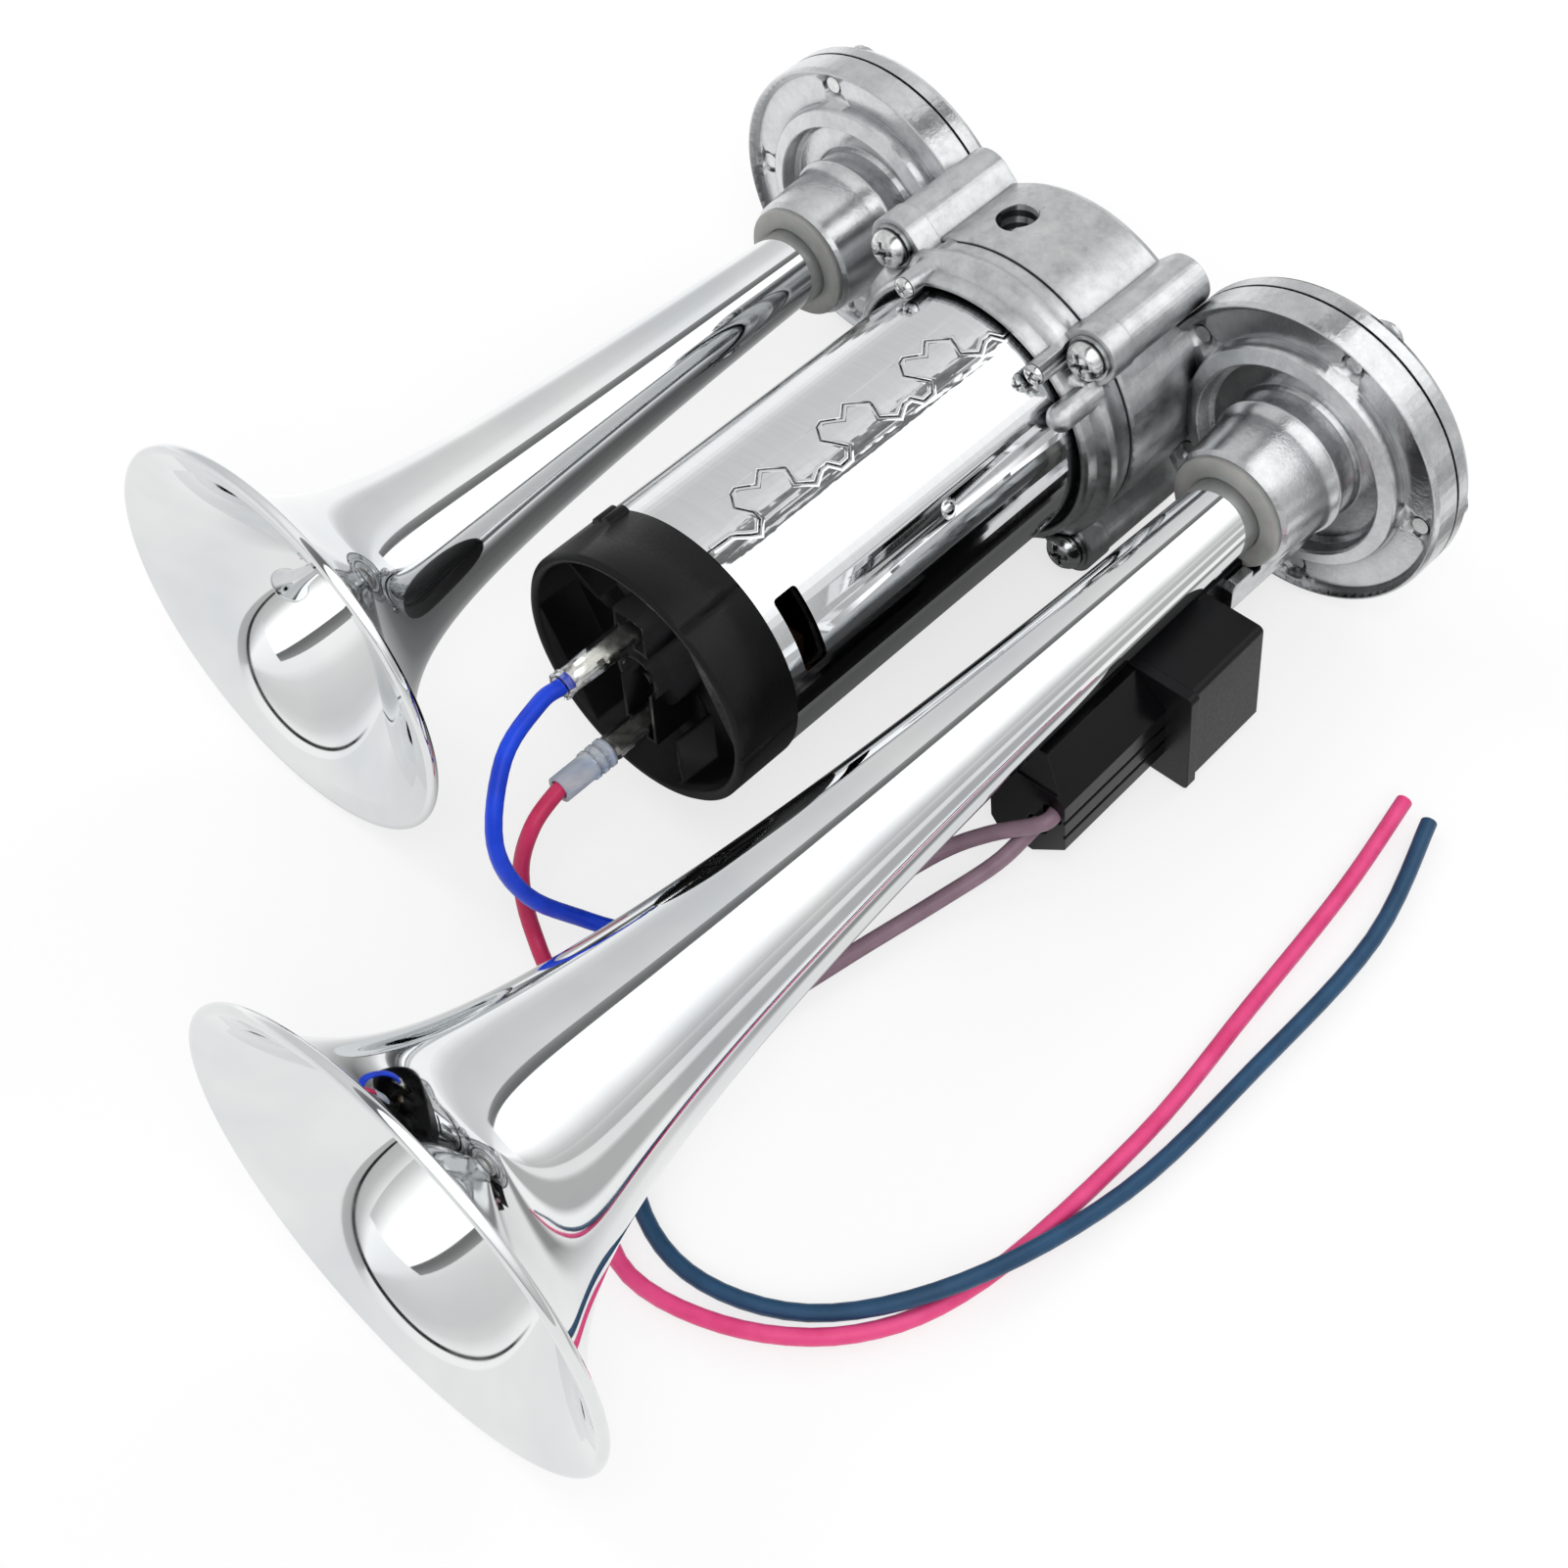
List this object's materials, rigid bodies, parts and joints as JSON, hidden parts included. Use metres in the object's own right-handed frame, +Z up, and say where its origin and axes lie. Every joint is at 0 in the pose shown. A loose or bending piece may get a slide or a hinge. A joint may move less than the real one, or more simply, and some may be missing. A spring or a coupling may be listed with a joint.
{
  "type": "twin trumpet electric air horn",
  "caption": "Two chrome trumpets on a cast manifold with sound heads, a small compressor motor, a relay in its socket and three wires.",
  "frame": {"origin": "mouth of the threaded mounting hole on top of the manifold, on the hole's axis", "axes": "+Y from the bells to the sound heads, +X from the short trumpet to the long one, +Z up along the mounting hole's axis"},
  "size_m": [0.1809, 0.1996, 0.0768],
  "materials": {
    "chrome_plating": "bright plated on moulded plastic",
    "soft_seal": "soft translucent moulding",
    "die_casting": "as cast, lightly polished faces",
    "plated_fastener": "bright zinc plated",
    "spring_steel": "bright rolled",
    "gasket_board": "matt pressed board",
    "sintered_steel": "oiled, matt",
    "carbon": "pressed carbon",
    "can_steel": "zinc plated, dull",
    "flux_ring_steel": "bright nickel plated, rolled",
    "cap_plastic": "satin black glass filled",
    "ferrite": "ground ferrite",
    "copper": "enamelled copper",
    "bronze": "sintered bronze",
    "brass_contact": "tinned brass",
    "phenolic": "laminated board",
    "clear_vinyl": "clear soft vinyl",
    "blue_vinyl": "clear bluish vinyl",
    "relay_plastic": "satin black",
    "socket_plastic": "glossy black",
    "blue_insulation": "soft vinyl",
    "pink_insulation": "soft vinyl"
  },
  "bodies": {
    "frame": {"trumpet_long": "chrome_plating", "trumpet_short": "chrome_plating", "trumpet_seals": "soft_seal", "housing": "die_casting", "diaphragms": "spring_steel", "head_gaskets": "gasket_board", "head_cover_long": "die_casting", "head_cover_short": "die_casting", "head_screws_long": "plated_fastener", "head_screws_short": "plated_fastener", "front_plate": "die_casting", "manifold_screws": "plated_fastener", "screw_washers": "plated_fastener", "plate_screws": "plated_fastener", "motor_screws": "plated_fastener", "pump_ring": "sintered_steel", "pump_plate": "sintered_steel", "motor_can": "can_steel", "flux_ring": "flux_ring_steel", "motor_cap": "cap_plastic", "magnets": "ferrite", "bearing_front": "bronze", "bearing_rear": "bronze", "brush_card": "phenolic", "brushes": "carbon", "terminals": "brass_contact", "terminal_receptacles": "brass_contact", "sleeve_upper": "clear_vinyl", "sleeve_lower": "clear_vinyl", "sleeve_ribbed": "blue_vinyl", "relay_cover": "relay_plastic", "relay_base": "relay_plastic", "relay_blades": "brass_contact", "relay_socket": "socket_plastic", "relay_screw": "plated_fastener", "wire_ground": "blue_insulation", "wire_motor": "pink_insulation", "wire_supply": "pink_insulation"},
    "armature": {"armature_core": "can_steel", "armature_windings": "copper", "commutator": "copper", "motor_shaft": "spring_steel", "pump_rotor": "sintered_steel", "pump_vanes": "carbon"}
  },
  "joints": [
    {"name": "armature_spin", "type": "hinge", "parent": "frame", "child": "armature", "pos_m": [0.006, 0, -0.0253], "axis": [0, 1, 0], "continuous": true}
  ]
}
